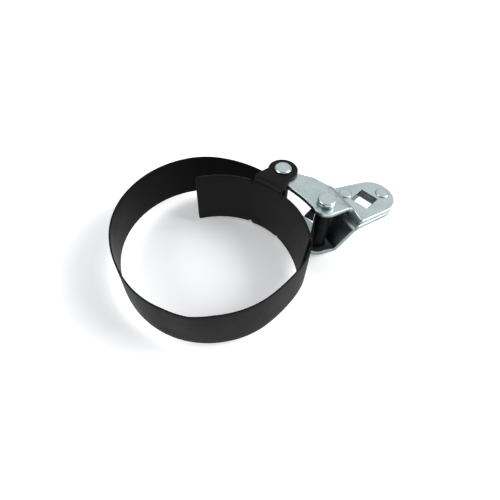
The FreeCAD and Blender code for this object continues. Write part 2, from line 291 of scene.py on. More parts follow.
def capped_tube(rows, columns, first_flipped):
    """Faces of a tube with a cap at each end; first_flipped turns both caps over."""
    first = list(range(columns))
    last = [i + (rows - 1) * columns for i in first]
    caps = [first[::-1], last] if first_flipped else [first, last[::-1]]
    return tube_faces(rows, columns)[:, ::-1].tolist() + caps


def make_piece(name, points, faces, rim, shade=0.0):
    """Mesh object from points in millimetres.

    Its rim attribute is 1 on cut edges, its shade attribute where the finish has another tone.
    The finishes paint shade and light where these attributes lie.
    """
    mesh = bpy.data.meshes.new(name)
    mesh.from_pydata((np.asarray(points) * MM).tolist(), [], faces)
    for label, value in (("rim", rim), ("shade", shade)):
        filled = np.ascontiguousarray(np.broadcast_to(np.float32(value), len(points)))
        mesh.attributes.new(label, "FLOAT", "POINT").data.foreach_set("value", filled)
    mesh.polygons.foreach_set("use_smooth", np.ones(len(mesh.polygons), bool))
    mesh.validate()
    mesh.set_sharp_from_angle(angle=SHARP_ANGLE)
    piece = bpy.data.objects.new(name, mesh)
    bpy.context.scene.collection.objects.link(piece)
    return piece


def finish_piece(piece, finish, nodes):
    """Gives a piece its finish, and lets it stand for its CAD nodes."""
    piece.data.materials.append(bpy.data.materials[finish])
    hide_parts(*nodes)


# ---------- finishes


def add_nodes(tree, *kinds):
    """New shader nodes, one of each kind."""
    return [tree.nodes.new("ShaderNode" + kind) for kind in kinds]


def plug(tree, *links):
    """Makes links, each given as its node and output and then its node and input."""
    for source, output, target, entry in links:
        tree.links.new(source.outputs[output], target.inputs[entry])


def new_group(name, inputs, outputs):
    """Shader node group with named float inputs and outputs, and the nodes at its two ends."""
    tree = bpy.data.node_groups.new(name, "ShaderNodeTree")
    for way, labels in (("INPUT", inputs), ("OUTPUT", outputs)):
        for label in labels:
            tree.interface.new_socket(label, in_out=way, socket_type="NodeSocketFloat")
    return tree, tree.nodes.new("NodeGroupInput"), tree.nodes.new("NodeGroupOutput")


def set_inputs(node, **values):
    """Sets a node's inputs by name, with underscores for spaces."""
    for key, value in values.items():
        node.inputs[key.replace("_", " ")].default_value = value


def set_range(node, low, high, to_low, to_high):
    """Makes a map range node carry low..high to to_low..to_high."""
    set_inputs(node, From_Min=low, From_Max=high, To_Min=to_low, To_Max=to_high)


def speckle_group():
    """Cloudy patches broken up by a fine crystalline speckle.

    Value = patches * (1 - fine) + speckle * fine, both noises on Object coordinates.
    """
    inputs = ("Patch Scale", "Speckle Scale", "Fine")
    tree, inside, outside = new_group("Speckle", inputs, ("Value", "Height"))
    where, patches, speckle, mix = add_nodes(tree, "TexCoord", "TexNoise", "TexVoronoi", "Mix")
    set_inputs(patches, Detail=3.0)
    plug(
        tree,
        (where, "Object", patches, "Vector"),
        (where, "Object", speckle, "Vector"),
        (inside, "Patch Scale", patches, "Scale"),
        (inside, "Speckle Scale", speckle, "Scale"),
        (inside, "Fine", mix, "Factor"),
        (patches, "Fac", mix, "A"),
        (speckle, "Distance", mix, "B"),
        (mix, "Result", outside, "Value"),
        (speckle, "Distance", outside, "Height"),
    )
    return tree


def tone_group():
    """Tone mask: rim and shade attributes weighed and added, then broken up by noise.

    Mask = (rim * Rim + shade * Shade) * (a value from 1 - Break to 1 that the noise picks)
    """
    tree, inside, outside = new_group("Tone mask", ("Scale", "Rim", "Shade", "Break"), ("Mask",))
    kinds = ("TexCoord", "TexNoise", "MapRange", "Attribute", "Attribute")
    where, noise, noise_range, rim, shade = add_nodes(tree, *kinds)
    rim_part, both, spread, masked = add_nodes(tree, *["Math"] * 4)
    rim.attribute_name, shade.attribute_name = "rim", "shade"
    rim_part.operation = "MULTIPLY"
    both.operation = "MULTIPLY_ADD"
    spread.operation = "SUBTRACT"
    spread.inputs[0].default_value = 1.0
    masked.operation = "MULTIPLY"
    masked.use_clamp = True
    set_range(noise_range, 0.3, 0.7, 0.0, 1.0)
    plug(
        tree,
        (where, "Object", noise, "Vector"),
        (inside, "Scale", noise, "Scale"),
        (rim, "Fac", rim_part, 0),
        (inside, "Rim", rim_part, 1),
        (shade, "Fac", both, 0),
        (inside, "Shade", both, 1),
        (rim_part, 0, both, 2),
        (inside, "Break", spread, 1),
        (noise, "Fac", noise_range, "Value"),
        (spread, 0, noise_range, "To Min"),
        (both, 0, masked, 0),
        (noise_range, "Result", masked, 1),
        (masked, 0, outside, "Mask"),
    )
    return tree


def place_group(tree, group, **values):
    """Node that uses a group, with its inputs set."""
    node = tree.nodes.new("ShaderNodeGroup")
    node.node_tree = group
    set_inputs(node, **values)
    return node


def start_material(name):
    """Node tree and shader of a new material."""
    material = bpy.data.materials.new(name)
    material.use_nodes = True
    return material.node_tree, material.node_tree.nodes["Principled BSDF"]


def colour_mix(tree, first, second):
    """Colour mix node between two colours."""
    mix = tree.nodes.new("ShaderNodeMix")
    mix.data_type = "RGBA"
    set_inputs(mix, A=(*first, 1), B=(*second, 1))
    return mix


def start_finish(name, groups, grain, gloss_ends, bump_size):
    """Finish whose speckle varies its roughness and raises its surface."""
    tree, shader = start_material(name)
    grain = dict(zip(("Patch_Scale", "Speckle_Scale", "Fine"), grain))
    speckle = place_group(tree, groups["speckle"], **grain)
    gloss, bump = add_nodes(tree, "MapRange", "Bump")
    set_range(gloss, 0.25, 0.7, *gloss_ends)
    set_inputs(bump, Strength=bump_size[0], Distance=bump_size[1])
    plug(
        tree,
        (speckle, "Value", gloss, "Value"),
        (gloss, "Result", shader, "Roughness"),
        (speckle, "Height", bump, "Height"),
        (bump, "Normal", shader, "Normal"),
    )
    return tree, shader, speckle


def black_finish(name, groups, roughness, patch_scale, specular, rim, shade):
    """Satin black over steel: dark, cloudy in its gloss, with a lighter black as painted light on the band's
    outer face and as a little wear on cut edges.
    """
    finish = bpy.context.scene.fw_finish
    ends = (roughness - 0.07, roughness + 0.08)
    grain = (patch_scale, 1400.0, 0.35)
    tree, shader = start_finish(name, groups, grain, ends, (0.12, 0.00006))[:2]
    # Painted light: the tone mask mixes the lighter black onto the band's outer face (shade attribute) and
    # faintly onto cut edges (rim attribute)
    edge = place_group(tree, groups["tone"], Scale=38.0, Rim=rim, Shade=shade, Break=0.5)
    mix = colour_mix(tree, finish.black, finish.lit_and_worn)
    set_inputs(shader, Specular_IOR_Level=specular)
    plug(tree, (edge, "Mask", mix, "Factor"), (mix, "Result", shader, "Base Color"))


def zinc_finish(name, groups, roughness, patch_scale):
    """Bright zinc plating: bluish grey metal, mottled, with a fine speckle in its gloss, and painted shade
    where the rim and shade attributes lie.
    """
    finish = bpy.context.scene.fw_finish
    ends = (roughness + 0.06, roughness - 0.05)
    grain = (patch_scale, 1600.0, 0.45)
    tree, shader, speckle = start_finish(name, groups, grain, ends, (0.15, 0.00005))
    # Painted shade: the tone mask darkens cut edges, hole walls, head feet and the plates' shaded upper
    # faces towards the shaded zinc colour
    tone = place_group(tree, groups["tone"], Scale=150.0, Rim=0.95, Shade=0.8, Break=0.15)
    mix = colour_mix(tree, finish.zinc_dark, finish.zinc_light)
    painted_shade = colour_mix(tree, (0, 0, 0), finish.zinc_shaded)
    (patches,) = add_nodes(tree, "MapRange")
    set_range(patches, 0.3, 0.65, 0.0, 1.0)
    set_inputs(shader, Metallic=1.0)
    plug(
        tree,
        (speckle, "Value", patches, "Value"),
        (patches, "Result", mix, "Factor"),
        (mix, "Result", painted_shade, "A"),
        (tone, "Mask", painted_shade, "Factor"),
        (painted_shade, "Result", shader, "Base Color"),
    )


# name: roughness, patch scale, specular level, weights of the rim and shade attributes
BLACKS = {
    "Band black": (0.47, 45.0, 0.055, 0.0, 1.0),
    "Shoe black": (0.47, 70.0, 0.12, 0.1, 0.0),
    "Washer black": (0.45, 120.0, 0.13, 0.1, 0.0),
}
# name: roughness, patch scale
ZINCS = {"Plate zinc": (0.34, 110.0), "Fastener zinc": (0.30, 240.0)}


class FW_OT_finishes(bpy.types.Operator):
    """Make the black and the zinc finishes"""

    bl_idname = "fw.finishes"
    bl_label = "Finishes"

    def execute(self, context):
        groups = {"speckle": speckle_group(), "tone": tone_group()}
        for name, values in BLACKS.items():
            black_finish(name, groups, *values)
        for name, values in ZINCS.items():
            zinc_finish(name, groups, *values)
        return {"FINISHED"}


# ---------- band

RING_RADIUS = float(np.linalg.norm(HINGE["front_flex"]))
RING_SEAM = -140.0
STRIP_STEP = 0.7
FLEX_REACH = 11.0
SET_FADE = 22.0
FINE_STEP = 0.3
RIM_ROUNDING = 0.3
SECTION_LEVELS = 9
# Each set in the strip: its place and its spread in degrees, and its size
SETS = (
    (-94.0, 22.0, 1.75),
    (-150.0, 18.0, -1.5),
    (-230.0, 26.0, 1.4),
    (-41.0, 12.0, -1.9),
    (-13.0, 8.0, 0.8),
)
TILTS = ((-120.0, 26.0, 0.95), (-205.0, 40.0, -1.5))
KINK = (-95.5, 12.0, 1.1)


def chord_arc(start, inward, end):
    """Centre and radius of the arc from start, square to the inward normal, through end.

    The radius is the chord's length squared over twice the chord's share along the normal.
    """
    chord = end - start
    radius = chord @ chord / (2 * chord @ inward)
    return start + inward * radius, radius


def pin_arc(start, inward, pin, reach):
    """Centre and radius of the arc that leaves start squarely and touches a circle about a pin.

    With the gap from pin to start, the radius is (reach squared - gap squared) over twice (the
    gap's share along the normal - reach), so that the two circles meet at one point.
    """
    gap = start - pin
    radius = (reach**2 - gap @ gap) / (2 * (gap @ inward - reach))
    return start + inward * radius, radius


def strip_side(first_flex, last_flex, pin, bore, direction):
    """Middle line of the strip from the ring's seam to the end of one loop.

    It is a run of arcs: the ring, a tighter arc between two flexing points, a gentle arc that
    touches the loop's circle, and the loop. direction is 1 anticlockwise and -1 clockwise. The
    length before the loop comes with it.
    """
    band = bpy.context.scene.fw_band
    reach = (bore + band.thickness / 2) / MM
    start, end = HINGE[first_flex], HINGE[last_flex]
    begin = angle_of((0, 0), start)
    sweep = (begin - RING_SEAM) * direction % 360 * direction
    ring = arc((0, 0), RING_RADIUS, RING_SEAM, RING_SEAM + sweep, FINE_STEP)
    centre, radius = chord_arc(start, -start / np.linalg.norm(start), end)
    first = angle_of(centre, start)
    turn = (angle_of(centre, end) - first) * direction % 360 * direction
    tight = arc(centre, radius, first, first + turn, FINE_STEP)
    outer, wide = pin_arc(end, (centre - end) / radius, pin, reach)
    first = angle_of(outer, end)
    turn = (angle_of(outer, pin) - first + 180) % 360 - 180
    run = arc(outer, abs(wide), first, first + turn, FINE_STEP)
    hit = angle_of(pin, run[-1])
    loop = arc(pin, reach, hit, hit - direction * math.degrees(band.loop_wrap), FINE_STEP)
    before_loop = np.concatenate([ring, tight[1:], run[1:]])
    return np.concatenate([before_loop, loop[1:]]), along(before_loop)[-1]


def strip_profile(thickness):
    """Closed section of the strip, as (across, height), and whether each point is on a cut edge.

    It is a tall rectangle with rounded corners, one quarter of it mirrored across both axes.
    """
    half, level = thickness / MM / 2, BAND_HALF_WIDTH - RIM_ROUNDING
    heights = np.linspace(-level, level, SECTION_LEVELS)
    right = np.stack([np.full(SECTION_LEVELS, half), heights], -1)
    top = arc((0, 0), RIM_ROUNDING, 0, 90, 0.12) + (half - RIM_ROUNDING, level)
    left = (right * (-1, 1))[::-1][1:-1]
    upper = [right[:-1], top, (top * (-1, 1))[::-1]]
    loop = np.concatenate([*upper, left, top * (-1, -1), (top * (1, -1))[::-1][:-1]])
    rim = (np.abs(loop[:, 1]) > BAND_HALF_WIDTH - RIM_ROUNDING * 1.01).astype(float)
    return loop, rim


def strip_sets(path):
    """How far the strip's bottom edge stands out of a true circle, and how much more its top does.

    Each is a sum of bell curves over the plan angle, size * exp(-((angle - place) / spread)
    squared / 2), for the set that the strip has taken. The second also has a small kink, which
    rises and falls in straight lines.
    """
    turn = np.degrees(np.unwrap(np.arctan2(path[:, 1], path[:, 0])))
    turn = turn - 360 * np.round((turn[0] - RING_SEAM) / 360)

    def bells(rows):
        return sum(size * np.exp(-(((turn - at) / spread) ** 2) / 2) for at, spread, size in rows)

    at, spread, size = KINK
    return bells(SETS), bells(TILTS) + size * np.clip(1 - np.abs(turn - at) / spread, 0, 1)


def carried_strip(name, path, offset, kink):
    """Strip piece: the section is carried along the path, square to it, and capped at both ends.

    Each point moves outward by offset + kink * its share of the strip's height.
    """
    section, rim = strip_profile(bpy.context.scene.fw_band.thickness)
    normals = left_normals(path)[0]
    share = 0.5 + section[:, 1] / BAND_HALF_WIDTH / 2
    outward = np.sign((path * normals).sum(1).mean())
    shift = (offset[:, None] + kink[:, None] * share[None]) * outward
    across = section[None, :, 0] + shift
    plan = path[:, None] + normals[:, None] * across[..., None]
    height = np.broadcast_to(section[None, :, 1], across.shape)
    points = np.concatenate([plan, height[..., None]], -1).reshape(-1, 3)
    rows = len(path)
    faces = capped_tube(rows, len(section), first_flipped=False)
    # Painted light: the outer face gets shade attribute 1, where the band's finish paints a lighter black
    outer = (section[:, 0] * outward > 0).astype(float)
    return make_piece(name, points, faces, np.tile(rim, rows), np.tile(outer, rows))


def strip_pieces(side, flexes, bodies, names):
    """Cuts one side of the strip midway between its flexing points, one point to each piece.

    The sets fade out before the loop over SET_FADE, as share * share * (3 - 2 * share). Each
    piece comes with its two bodies and the ends of the length over which it bends.
    """
    path, loop_start = side
    path = evenly(path, STRIP_STEP)
    length = along(path)
    offset, kink = strip_sets(path)
    places = [length[np.argmin(np.linalg.norm(path - HINGE[f], axis=1))] for f in flexes]
    cuts = [0.0] + [(a + b) / 2 for a, b in zip(places, places[1:])] + [length[-1]]
    fade = np.clip((loop_start - length) / SET_FADE, 0, 1)
    fade = fade * fade * (3 - 2 * fade)
    made = []
    for k, name in enumerate(names):
        first, last = (int(np.argmin(np.abs(length - cut))) for cut in cuts[k : k + 2])
        part = slice(first, last + 1)
        piece = carried_strip(name, path[part], (offset * fade)[part], (kink * fade)[part])
        ends = [
            [float(np.interp(places[k] + reach, length, path[:, a])) * MM for a in (0, 1)] + [0.0]
            for reach in (-FLEX_REACH, FLEX_REACH)
        ]
        made.append((piece, bodies[k], bodies[k + 1], ends))
    return made


class FW_OT_band(bpy.types.Operator):
    """Build the flexible strip with a loop at each end"""

    bl_idname = "fw.band"
    bl_label = "Band"

    def execute(self, context):
        band = context.scene.fw_band
        made = strip_pieces(
            strip_side("right_flex", "anchor_flex", ANCHOR_PIN, band.anchor_bore, 1),
            ("front_flex", "right_flex", "anchor_flex"),
            ("band_root", "band_front", "band_right", "band_anchor"),
            ("strip_front", "strip_right", "strip_anchor_loop"),
        )
        made += strip_pieces(
            strip_side("back_flex", "pull_flex", NOSE_PIN, band.nose_bore, -1),
            ("rear_flex", "back_flex", "pull_flex"),
            ("band_root", "band_rear", "band_back", "band_pull"),
            ("strip_rear", "strip_back", "strip_pull_loop"),
        )
        for piece, body_a, body_b, (start, end) in made:
            nodes = ["band_ring"] if piece.name == "strip_front" else []
            nodes.append(piece.name.replace("strip", "band"))
            finish_piece(piece, "Band black", nodes)
            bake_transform(piece, body_a, body_b, start=start, end=end)
        return {"FINISHED"}


# ---------- sheet parts


def inset(loop, distance):
    """Closed loop moved to its left by a distance square to each side, so with mitred corners."""
    normals, share = left_normals(loop, closed=True)
    return loop + normals * (distance / np.maximum(share, 0.5))[:, None]


def rim_steps(thickness, round_by, support=0.35):
    """Section of a rounded rim, as (inset, height) pairs from the top face to the bottom one.

    A support ring lies on each face, just inside the rounding.
    """
    quarter = np.radians(np.linspace(90, 0, 4))
    level = thickness / 2 - round_by
    upper = np.stack([round_by * (1 - np.cos(quarter)), level + round_by * np.sin(quarter)], -1)
    upper = np.concatenate([[[round_by + support, thickness / 2]], upper])
    return np.concatenate([upper, (upper * (1, -1))[::-1]])


def flat_sheet(outer, holes, thickness, round_by):
    """Flat sheet in its own pattern plane, as a bmesh, with rounded rims at its outline and holes.

    The outline runs anticlockwise and the holes clockwise, so the metal is always on the left.
    """
    work = bmesh.new()
    rim = work.verts.layers.float.new("rim")
    steps = rim_steps(thickness, round_by)
    faces_edges = ([], [])
    for loop in [outer] + holes:
        rows, columns = len(steps), len(loop)
        rings = [np.insert(inset(loop, d), 2, h, axis=1) for d, h in steps]
        verts = [work.verts.new(p) for p in np.concatenate(rings)]
        # Rim marks the lower half of the outline's rim and most of each hole's wall; the zinc finish paints
        # shade there
        shaded_from = rows // 2 if loop is outer else 2
        for i, v in enumerate(verts):
            v[rim] = float(shaded_from <= i // columns < rows - 1)
        for quad in tube_faces(rows, columns).tolist():
            work.faces.new([verts[i] for i in quad])
        for edges, row in zip(faces_edges, (0, rows - 1)):
            ring = verts[row * columns : (row + 1) * columns]
            edges.extend(work.edges.get((a, b)) for a, b in zip(ring, ring[1:] + ring[:1]))
    for edges in faces_edges:
        bmesh.ops.triangle_fill(work, edges=edges, use_beauty=True, use_dissolve=False)
    return work


def cut_across(work, stations, normal):
    """Adds an edge across the sheet at each station along the normal, so that it can bend there."""
    for place in stations:
        everything = work.verts[:] + work.edges[:] + work.faces[:]
        where = {"plane_co": np.array(normal) * place, "plane_no": normal}
        bmesh.ops.bisect_plane(work, geom=everything, dist=1e-5, **where)


def bent_piece(name, work, shape, shade=lambda flat: 0.0):
    """Mesh object of a flat sheet, whose points the shape function carries to their places."""
    bmesh.ops.triangulate(work, faces=[f for f in work.faces if len(f.verts) > 4])
    bmesh.ops.recalc_face_normals(work, faces=work.faces[:])
    work.verts.index_update()
    flat = np.array([v.co for v in work.verts])
    rim_layer = work.verts.layers.float["rim"]
    rim = np.array([v[rim_layer] for v in work.verts])
    faces = [[v.index for v in f.verts] for f in work.faces]
    work.free()
    return make_piece(name, shape(flat), faces, rim, shade(flat))


def circle(centre, radius, steps=64):
    """Clockwise circle, for the rim of a hole."""
    return polar(centre, radius, np.linspace(0, -360, steps, endpoint=False))


# ---------- shoe

EAR_BEND = 3.2
NOTCH_PLACE = 12.3
NOTCH_RADIUS = 1.3
EAR_HALF_WIDTH = 12.0
EAR_BORE = 4.46
SHOE_CORNER = 1.6
SHOE_TWIST = 1.1
SHOE_FLARE = 1.5
SHOE_EDGE = 0.45
EAR_TIP_SWEEP = 118
EAR_SIDE_REACH = 3.0
NECK_RISE = 0.6


def shoe_sizes():
    """The shoe's sizes in millimetres, on the middle surface of its sheet."""
    shoe = bpy.context.scene.fw_shoe
    thickness = shoe.thickness / MM
    middle = shoe.radius / MM - thickness / 2
    return {
        "thickness": thickness,
        "middle": middle,
        "half_height": shoe.width / MM / 2,
        "half_length": middle * shoe.half_angle,
        "reach": shoe.reach / MM,
        "bend_start": EAR_OUTER - thickness / 2 - EAR_BEND,
    }


def on_ear(size, plan):
    """Pattern place of points on the flat of the ear, given as (outward, sideways) from the centre.

    The wall stands at sqrt(radius squared - sideways squared), and what lies beyond the bend is
    added to the pattern there. The place along the wall is radius * asin(sideways / radius).
    """
    outward, sideways = plan[:, 0], plan[:, 1]
    wall = np.sqrt(size["middle"] ** 2 - sideways**2)
    flat_start = size["bend_start"] + EAR_BEND * math.pi / 2
    around = size["middle"] * np.arcsin(sideways / size["middle"])
    return np.stack([around, flat_start + outward - wall - EAR_BEND], -1)


def shoe_outline(size):
    """Pattern of the shoe: a long strip with an ear at the middle of each long side.

    There is a notch on each side of each ear. One quarter is drawn, and mirrored twice.
    """
    ear_radius = bpy.context.scene.fw_shoe.ear_radius / MM
    high, long = size["half_height"], size["half_length"]
    tip = on_ear(size, arc((size["reach"], 0), ear_radius, EAR_TIP_SWEEP, 0, 0.6))
    straight = on_ear(size, np.array([[size["middle"] + EAR_SIDE_REACH, EAR_HALF_WIDTH]]))
    neck = np.array([[NOTCH_PLACE - NOTCH_RADIUS, high + NECK_RISE]])
    notch = arc((NOTCH_PLACE, high), NOTCH_RADIUS, -178, -2, 0.4)
    corner_centre = (long - SHOE_CORNER, high - SHOE_CORNER)
    corner = polar(corner_centre, SHOE_CORNER, np.linspace(90, 0, 6))
    quarter = np.concatenate([tip[::-1], straight, neck, notch, corner])
    half = np.concatenate([quarter, (quarter * (1, -1))[::-1]])
    loop = np.concatenate([half, (half * (-1, 1))[::-1]])
    keep = np.linalg.norm(loop - np.roll(loop, 1, 0), axis=1) > 1e-6
    return loop[keep][::-1]


def shoe_shape(size):
    """Function that carries pattern points (along, up, outward) to their places on the bent shoe.

    The wall is a cylinder about the shoe's centre. Past the bend line a point turns outward
    through a quarter circle and then runs straight out on the ear, keeping its own distance
    sideways. Towards one end the wall is pushed out: its top and its bottom in opposite ways by
    the twist, which grows in a straight line, and all of it by the flare, which grows squared.
    """
    out, side = turned_axes(bpy.context.scene.fw_shoe.heading)
    centre = NOSE_PIN - out * size["reach"]

    def shape(flat):
        turn = flat[:, 0] / size["middle"]
        past = np.abs(flat[:, 1]) - size["bend_start"]
        bend = np.clip(past / EAR_BEND, 0, math.pi / 2)
        straight = np.maximum(past - EAR_BEND * math.pi / 2, 0)
        outward = EAR_BEND * (1 - np.cos(bend)) + straight
        bent_height = size["bend_start"] + EAR_BEND * np.sin(bend)
        height = np.where(past > 0, bent_height, np.abs(flat[:, 1]))
        unbent = 1 - bend / (math.pi / 2)
        lean = turn * unbent
        lift = flat[:, 2] * np.cos(bend)
        reach = size["middle"] * np.cos(turn) + outward + lift * np.cos(lean)
        sideways = size["middle"] * np.sin(turn) + lift * np.sin(lean)
        share = -flat[:, 0] / size["half_length"]
        twist = SHOE_TWIST * np.clip(share * 2.2 - 0.15, 0, 1) * flat[:, 1] / size["half_height"]
        push = (twist + SHOE_FLARE * np.clip(share / 0.7 - 0.43, 0, 1) ** 2) * unbent
        reach = reach + push * np.cos(turn)
        sideways = sideways + push * np.sin(turn)
        height = (height - flat[:, 2] * np.sin(bend)) * np.sign(flat[:, 1] + 1e-12)
        plan = centre + reach[:, None] * out + sideways[:, None] * side
        return np.concatenate([plan, height[:, None]], -1)

    return shape


class FW_OT_shoe(bpy.types.Operator):
    """Build the curved gripping shoe with its two bent ears"""

    bl_idname = "fw.shoe"
    bl_label = "Shoe"

    def execute(self, context):
        size = shoe_sizes()
        bore = on_ear(size, circle((size["reach"], 0), EAR_BORE))[::-1]
        holes = [bore, (bore * (1, -1))[::-1]]
        work = flat_sheet(shoe_outline(size), holes, size["thickness"], SHOE_EDGE)
        cut_across(work, np.arange(-size["half_length"] + 1.5, size["half_length"], 1.8), (1, 0, 0))
        bends = size["bend_start"] + EAR_BEND * np.linspace(0, math.pi / 2, 9)
        cut_across(work, np.concatenate([bends, -bends]), (0, 1, 0))
        piece = bent_piece("grip_shoe", work, shoe_shape(size))
        finish_piece(piece, "Shoe black", ["shoe"])
        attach(piece, "shoe")
        return {"FINISHED"}


# ---------- lever plates

# Each plate: its node, its ramp's foot and head, its painted shade on arm and ramp, and how far
# its outer side lies from the middle line at the ramp's foot and head
PLATES = {
    "lever_plate_upper": ("upper_lever_plate", (13.0, 16.6), (0.0, 0.42), (9.8, 17.6)),
    "lever_plate_lower": ("lower_lever_plate", (9.6, 12.8), (0.5, 0.74), (11.1, 18.5)),
}
BEND_SKEW = math.tan(math.radians(6.0))
BEND_SAMPLES = 10
EYE_RADIUS = 9.6
HEAD_END = (38.4, 15.3)
HEAD_HALF_WIDTH = 17.4
NECK_HIGH = 11.2
SHOULDER = (4.2, 25.3, 4.0)
NAPE = (-1.5, 30.2, 5.0)
HOLLOW_SAG = 2.0
PLATE_EDGE = 0.5
ARM_TONE_START = -14.0
ARM_TONE_FADE = 8.0
RAMP_TONE_FADE = 1.5
UPPER_FACE = 0.9
FOOT_RADIUS = 10.3
DRIVE_DISTANCE = 32.1
SQUARE_CORNER = 0.5
RIVETS = {"drive_rivet_inner": (22.3, 9.4), "drive_rivet_outer": (47.0, 0.3)}
RIVET_RADIUS = 3.2
PIN_RADIUS = 4.4


def lever_axes():
    """Unit directions along the lever and to its left."""
    return turned_axes(bpy.context.scene.fw_lever.heading)


def bend_line(arm_level, head_level, bends):
    """Side view of a plate: level arm, ramp, level head, with a round bend at each corner.

    Returns samples of the length along it, its x, its z and its slope, and the stations that
    each bend needs. A bend of radius r and turn t starts r * tan(t / 2) before its corner.
    """
    radius = bpy.context.scene.fw_lever.bend_radius / MM
    drop = head_level - arm_level
    slope = math.atan2(drop, bends[1] - bends[0])
    ease = radius * math.tan(abs(slope) / 2)
    turn = np.linspace(0, 1, BEND_SAMPLES)
    x1 = bends[0] - ease + radius * np.sin(turn * abs(slope))
    z1 = arm_level + math.copysign(1, drop) * radius * (1 - np.cos(turn * slope))
    x2, z2 = bends[0] + bends[1] - x1[::-1], arm_level + head_level - z1[::-1]
    x = np.concatenate([[-60], x1, x2, [90]])
    z = np.concatenate([[arm_level], z1, z2, [head_level]])
    slopes = np.concatenate([[0], turn * slope, turn[::-1] * slope, [0]])
    length = along(np.stack([x, z], -1)) - 60
    return length, x, z, slopes, length[1:-1]


def plate_outline(line, bends, neck_low, head_low):
    """Pattern of a plate: eyes at both pins, a hollow inner side, a neck, a ramp and a round head.

    neck_low and head_low are how far its outer side lies from the middle line at the ramp's foot
    and head. The ramp's slope makes the head lie further along the pattern, by the shift.
    """
    shift = line[0][-1] - line[1][-1]
    nose = lever_axes() @ (NOSE_PIN - ANCHOR_PIN)
    heading = angle_of((0, 0), nose)
    end, end_radius = HEAD_END
    low = (bends[1] + head_low * BEND_SKEW, -head_low)
    high = (bends[1] - HEAD_HALF_WIDTH * BEND_SKEW, HEAD_HALF_WIDTH)
    spread = [math.degrees(math.acos(end_radius / math.dist((end, 0), c))) for c in (low, high)]
    first = angle_of((end, 0), low) + spread[0]
    last = angle_of((end, 0), high) - spread[1]
    tip = arc((end + shift, 0), end_radius, first, last, 1.2)
    far = polar(nose, EYE_RADIUS, heading + 90)
    near = np.array([-EYE_RADIUS, 0.0])
    sag = polar((near + far) / 2, HOLLOW_SAG, heading - 90)
    eye = arc(nose, EYE_RADIUS, -25, heading + 90, 0.8)
    hollow = arc_through(far, sag, near, 1.5)
    foot = arc((0, 0), FOOT_RADIUS, 200, 275, 0.8)
    corners = [(low[0] + shift, low[1], 1.8)]
    corners += [(*p, 0) for p in tip]
    corners += [
        (high[0] + shift, high[1], 2.5),
        (bends[0] - NECK_HIGH * BEND_SKEW, NECK_HIGH, 3.0),
        SHOULDER,
        NAPE,
    ]
    corners += [(*p, 0) for p in np.concatenate([eye, hollow[1:], foot])]
    corners += [(bends[0] + neck_low * BEND_SKEW, -neck_low, 5.0)]
    return rounded(corners, 8), shift, nose


def plate_shape(line):
    """Function that carries pattern points (along, across, up) to their places on the bent plate.

    A point's length along, with its skew, gives its place on the side view; its height is
    added square to it.
    """
    length, x, z, slopes = line[:4]
    axes = lever_axes()

    def shape(flat):
        skewed = flat[:, 0] + flat[:, 1] * BEND_SKEW
        slope = np.interp(skewed, length, slopes)
        reach = np.interp(skewed, length, x) - flat[:, 1] * BEND_SKEW
        reach -= flat[:, 2] * np.sin(slope)
        level = np.interp(skewed, length, z) + flat[:, 2] * np.cos(slope)
        plan = ANCHOR_PIN + reach[:, None] * axes[0] + flat[:, 1, None] * axes[1]
        return np.concatenate([plan, level[:, None]], -1)

    return shape


def ramp_shade(stations, arm_tone, ramp_tone):
    """Painted shade on a plate's upper face, from the eye to the ramp's foot and on the ramp."""

    def shade(flat):
        place = flat[:, 0] + flat[:, 1] * BEND_SKEW
        arm = np.clip((place - ARM_TONE_START) / ARM_TONE_FADE, 0, 1) * (place < stations[0])
        ramp = (place >= stations[0]) * np.clip((stations[-1] - place) / RAMP_TONE_FADE, 0, 1)
        return (arm * arm_tone + ramp * ramp_tone) * (flat[:, 2] > UPPER_FACE)

    return shade


def lever_plate(name, levels, node, bends, tones, outer_side):
    """One stamped plate, with its holes, bent between its arm and its head."""
    lever = bpy.context.scene.fw_lever
    line = bend_line(*levels, bends)
    outline, shift, nose = plate_outline(line, bends, *outer_side)
    half = lever.drive_size / MM / 2
    signs = ((-1, -1), (-1, 1), (1, 1), (1, -1))
    square = rounded([(half * a, half * b, SQUARE_CORNER) for a, b in signs], 3)
    square = square @ turned_axes(lever.drive_turn) + (DRIVE_DISTANCE + shift, 0)
    holes = [circle((0, 0), PIN_RADIUS), circle(nose, PIN_RADIUS), square]
    holes += [circle((x + shift, y), RIVET_RADIUS, 40) for x, y in RIVETS.values()]
    work = flat_sheet(outline, holes, lever.thickness / MM, PLATE_EDGE)
    across = np.array([1.0, BEND_SKEW, 0.0])
    cut_across(work, line[4] / (across @ across), across)
    piece = bent_piece(name, work, plate_shape(line), ramp_shade(line[4], *tones))
    finish_piece(piece, "Plate zinc", [node])
    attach(piece, "lever")


class FW_OT_lever(bpy.types.Operator):
    """Build the two bent lever plates with their square drive hole"""

    bl_idname = "fw.lever"
    bl_label = "Lever plates"

    def execute(self, context):
        half = context.scene.fw_lever.thickness / MM / 2
        upper = (PLATE_OUTER - half, HEAD_TOP - half)
        lower = (half - PLATE_OUTER, HEAD_TOP - 3 * half)
        for levels, (name, values) in zip((upper, lower), PLATES.items()):
            lever_plate(name, levels, *values)
        return {"FINISHED"}


# ---------- pins, rivets and washers

WAIST_RADIUS = 3.4
PIN_HEAD_RADIUS = 6.1
PIN_TAIL_HEIGHT = 1.2
ANCHOR_HEAD_HEIGHT = 4.3
NOSE_HEAD_HEIGHT = 1.6
END_PLAY = 0.1
RIVET_HEAD = (4.6, 0.0, 0.7, 0.45, 0.1)


def turned_piece(name, centre, section, steps=96):
    """Turned part: a section (radius, height, rim), bottom to top, swept round its own axis."""
    section = np.asarray(section, float)
    turn = np.linspace(0, 360, steps, endpoint=False)
    ring = polar((0, 0), 1.0, turn)
    plan = np.asarray(centre) + section[:, None, :1] * ring[None]
    height = np.broadcast_to(section[:, None, 1:2], (*plan.shape[:2], 1))
    points = np.concatenate([plan, height], -1).reshape(-1, 3)
    faces = capped_tube(len(section), steps, first_flipped=True)
    return make_piece(name, points, faces, np.repeat(section[:, 2], steps))


